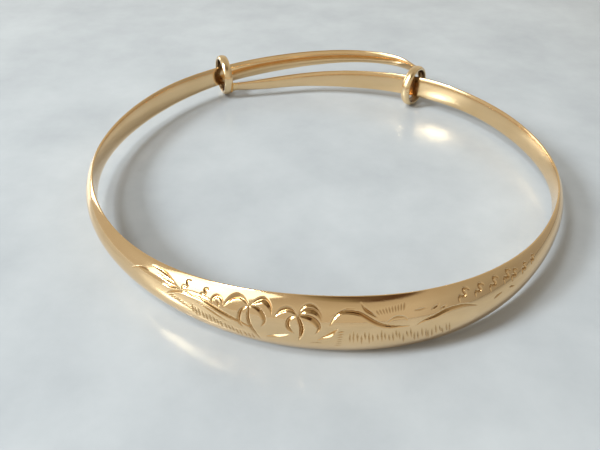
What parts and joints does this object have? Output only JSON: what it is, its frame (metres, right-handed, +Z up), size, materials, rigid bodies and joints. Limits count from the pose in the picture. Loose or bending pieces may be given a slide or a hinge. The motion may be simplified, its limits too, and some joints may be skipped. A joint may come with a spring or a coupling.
{
  "type": "bangle bracelet",
  "caption": "Adjustable gold bangle with an engraved domed front, tapering to two overlapping ends whose sliding ring collars let it open and close round a wrist.",
  "frame": {"origin": "centre of the wrist opening, at the level of the surface the bangle lies on", "axes": "+Z up through the wrist opening, engraved front towards -Y, overlapping ends and collars towards +Y"},
  "size_m": [0.0668, 0.0703, 0.0075],
  "materials": {
    "gold": "polished yellow gold, bright-cut engraving",
    "gold_collar": "polished yellow gold",
    "gold_solder": "polished gold solder"
  },
  "bodies": {
    "front": {"front_band": "gold"},
    "left_side": {"left_arm": "gold", "right_collar": "gold_collar", "left_arm_solder": "gold_solder"},
    "right_side": {"right_arm": "gold", "left_collar": "gold_collar", "right_arm_solder": "gold_solder"}
  },
  "joints": [
    {"name": "left_flex", "type": "hinge", "parent": "front", "child": "left_side", "pos_m": [-0.03311, 0.0029, 0], "axis": [0, 0, 1], "range_deg": [-4, 12]},
    {"name": "right_flex", "type": "hinge", "parent": "front", "child": "right_side", "pos_m": [0.03212, 0.00281, 0], "axis": [0, 0, -1], "range_deg": [-4, 12]}
  ],
  "couplings": [
    {"joint": "right_flex", "follows": "left_flex", "ratio": 1}
  ]
}
